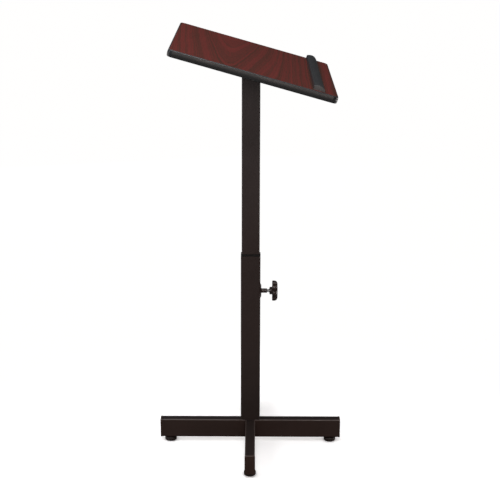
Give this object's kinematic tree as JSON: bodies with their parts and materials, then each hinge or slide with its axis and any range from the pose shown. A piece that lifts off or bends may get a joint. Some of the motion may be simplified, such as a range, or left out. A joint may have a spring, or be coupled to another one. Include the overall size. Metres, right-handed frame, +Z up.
{
  "type": "lectern stand",
  "caption": "Free-standing lectern with a sloped laminate reading surface and book stop on a telescoping rectangular column, screw clamp with star knob, and cross base on levelling feet.",
  "frame": {"origin": "on the floor under the column's centre line", "axes": "+Z up, +X towards the speaker and the low edge of the reading surface, +Y to the speaker's right"},
  "size_m": [0.481, 0.508, 1.0857],
  "materials": {
    "powder_coat": "satin black powder coat with a fine texture",
    "black_plastic": "moulded black polyethylene, matt",
    "foot_plastic": "moulded brown-black nylon, matt",
    "knob_plastic": "black phenolic, semi-gloss",
    "nylon": "natural nylon",
    "zinc_steel": "bright zinc plate",
    "mahogany_laminate": "mahogany high-pressure laminate, satin, grain across the slope's width",
    "particle_board": "raw particle board",
    "backing_black": "black phenolic backing sheet",
    "edge_vinyl": "black extruded vinyl edging, low sheen",
    "stop_vinyl": "charcoal extruded vinyl, low sheen"
  },
  "bodies": {
    "base_frame": {"long_leg": "powder_coat", "cross_leg_left": "powder_coat", "cross_leg_right": "powder_coat", "end_cap_front": "black_plastic", "end_cap_rear": "black_plastic", "end_cap_left": "black_plastic", "end_cap_right": "black_plastic", "leg_rivet_nuts": "zinc_steel", "access_hole_plugs": "black_plastic", "lower_column": "powder_coat", "column_foot_plate": "powder_coat", "base_bolts": "zinc_steel", "base_washers": "zinc_steel", "column_collar": "black_plastic", "clamp_boss_plate": "powder_coat", "clamp_sleeve": "powder_coat"},
    "mast_and_desk": {"upper_column": "powder_coat", "upper_column_plug": "black_plastic", "mounting_plate": "powder_coat", "mounting_screws": "zinc_steel", "panel_core": "particle_board", "face_laminate": "mahogany_laminate", "backing_sheet": "backing_black", "edge_molding": "edge_vinyl", "book_stop": "stop_vinyl", "book_stop_screws": "zinc_steel"},
    "clamp_tip": {"clamp_pressure_pad": "nylon"},
    "clamp_handle": {"clamp_screw": "zinc_steel", "clamp_knob": "knob_plastic"},
    "front_foot_stem": {"foot_stud_front": "zinc_steel"},
    "front_foot_base": {"foot_pad_front": "foot_plastic"},
    "rear_foot_stem": {"foot_stud_rear": "zinc_steel"},
    "rear_foot_base": {"foot_pad_rear": "foot_plastic"},
    "left_foot_stem": {"foot_stud_left": "zinc_steel"},
    "left_foot_base": {"foot_pad_left": "foot_plastic"},
    "right_foot_stem": {"foot_stud_right": "zinc_steel"},
    "right_foot_base": {"foot_pad_right": "foot_plastic"}
  },
  "joints": [
    {"name": "column_slide", "type": "slide", "parent": "base_frame", "child": "mast_and_desk", "axis": [0, 0, 1], "range_m": [-0.305, 0.025]},
    {"name": "clamp_travel", "type": "slide", "parent": "base_frame", "child": "clamp_tip", "axis": [1, 0, 0], "range_m": [0, 0.0051]},
    {"name": "clamp_turn", "type": "hinge", "parent": "clamp_tip", "child": "clamp_handle", "pos_m": [0.06, 0, 0.4235], "axis": [1, 0, 0], "range_deg": [0, 1440]},
    {"name": "front_foot_travel", "type": "slide", "parent": "base_frame", "child": "front_foot_stem", "axis": [0, 0, -1], "range_m": [0, 0.006]},
    {"name": "front_foot_turn", "type": "hinge", "parent": "front_foot_stem", "child": "front_foot_base", "pos_m": [-0.2136, 0, 0.005], "axis": [0, 0, -1], "range_deg": [0, 1730]},
    {"name": "rear_foot_travel", "type": "slide", "parent": "base_frame", "child": "rear_foot_stem", "axis": [0, 0, -1], "range_m": [0, 0.006]},
    {"name": "rear_foot_turn", "type": "hinge", "parent": "rear_foot_stem", "child": "rear_foot_base", "pos_m": [0.2136, 0, 0.005], "axis": [0, 0, -1], "range_deg": [0, 1730]},
    {"name": "left_foot_travel", "type": "slide", "parent": "base_frame", "child": "left_foot_stem", "axis": [0, 0, -1], "range_m": [0, 0.006]},
    {"name": "left_foot_turn", "type": "hinge", "parent": "left_foot_stem", "child": "left_foot_base", "pos_m": [0, -0.20635, 0.005], "axis": [0, 0, -1], "range_deg": [0, 1730]},
    {"name": "right_foot_travel", "type": "slide", "parent": "base_frame", "child": "right_foot_stem", "axis": [0, 0, -1], "range_m": [0, 0.006]},
    {"name": "right_foot_turn", "type": "hinge", "parent": "right_foot_stem", "child": "right_foot_base", "pos_m": [0, 0.20635, 0.005], "axis": [0, 0, -1], "range_deg": [0, 1730]}
  ],
  "couplings": [
    {"joint": "clamp_travel", "follows": "clamp_turn", "m_per_rad": 0.00019894},
    {"joint": "front_foot_turn", "follows": "front_foot_travel", "rad_per_m": 5026.5},
    {"joint": "rear_foot_turn", "follows": "rear_foot_travel", "rad_per_m": 5026.5},
    {"joint": "left_foot_turn", "follows": "left_foot_travel", "rad_per_m": 5026.5},
    {"joint": "right_foot_turn", "follows": "right_foot_travel", "rad_per_m": 5026.5}
  ]
}
